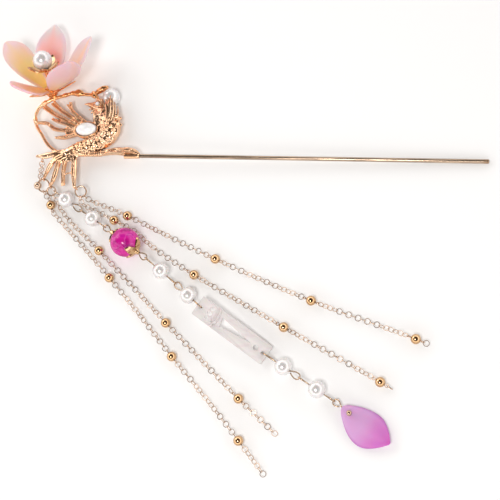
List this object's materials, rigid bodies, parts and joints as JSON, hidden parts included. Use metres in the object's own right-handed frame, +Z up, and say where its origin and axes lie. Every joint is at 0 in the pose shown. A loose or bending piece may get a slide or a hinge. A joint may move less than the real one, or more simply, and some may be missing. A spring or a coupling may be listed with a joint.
{
  "type": "buyao hairpin",
  "caption": "Straight metal hair stick with a cast phoenix, a glass flower, pearls, beaded chains and a long strand with a pierced plaque and a petal drop.",
  "frame": {"origin": "on the pin's axis, where it comes out of the casting", "axes": "+X along the pin seen from above, towards its free end; +Y towards the flower; +Z up from the surface it lies on"},
  "size_m": [0.1809, 0.1638, 0.0238],
  "materials": {
    "rose_gold": "polished rose-gold plating",
    "pin_gold": "polished pale gold plating",
    "champagne_gold": "bright gold plating",
    "chain_gold": "polished rose-gold plating",
    "pearl": "pearl lustre",
    "white_stone": "polished white",
    "petal_pink": "frosted, pink",
    "petal_yellow": "frosted, yellow running into pink",
    "magenta_stone": "polished, veined",
    "shell": "polished shell",
    "lilac_glass": "frosted, lilac running into magenta"
  },
  "bodies": {
    "root": {"phoenix": "rose_gold", "pin": "pin_gold", "petal_right": "petal_pink", "petal_top": "petal_pink", "petal_left": "petal_yellow", "petal_lower": "petal_pink", "petal_front": "petal_pink", "flower_cup": "champagne_gold", "flower_pearl": "pearl", "crest_pearl": "pearl", "wing_pearl": "white_stone", "eye_stone": "white_stone", "left_ring": "champagne_gold", "middle_ring": "chain_gold", "right_ring": "chain_gold", "tail_chain": "chain_gold", "pearl_1": "pearl", "pearl_2": "pearl", "pearl_3": "pearl", "pearl_4": "pearl", "pearl_5": "pearl", "pearl_6": "pearl", "eye_pin_1": "pin_gold", "eye_pin_2": "pin_gold", "eye_pin_3": "pin_gold", "eye_pin_4": "pin_gold", "eye_pin_5": "pin_gold", "eye_pin_6": "pin_gold", "large_bead": "magenta_stone", "upper_cap": "champagne_gold", "lower_cap": "champagne_gold", "eye_pin_large": "pin_gold", "plaque": "shell", "drop": "lilac_glass", "drop_wire": "pin_gold", "chain_a": "chain_gold", "chain_b": "chain_gold", "chain_c": "chain_gold", "chain_d": "chain_gold", "bead_a1": "champagne_gold", "bead_a2": "champagne_gold", "bead_a3": "champagne_gold", "bead_a4": "champagne_gold", "bead_b1": "champagne_gold", "bead_b2": "champagne_gold", "bead_b3": "champagne_gold", "bead_b4": "champagne_gold", "bead_c1": "champagne_gold", "bead_c2": "champagne_gold", "bead_c3": "champagne_gold", "bead_d1": "champagne_gold", "bead_d2": "champagne_gold", "bead_d3": "champagne_gold", "bead_d4": "champagne_gold"}
  },
  "joints": []
}
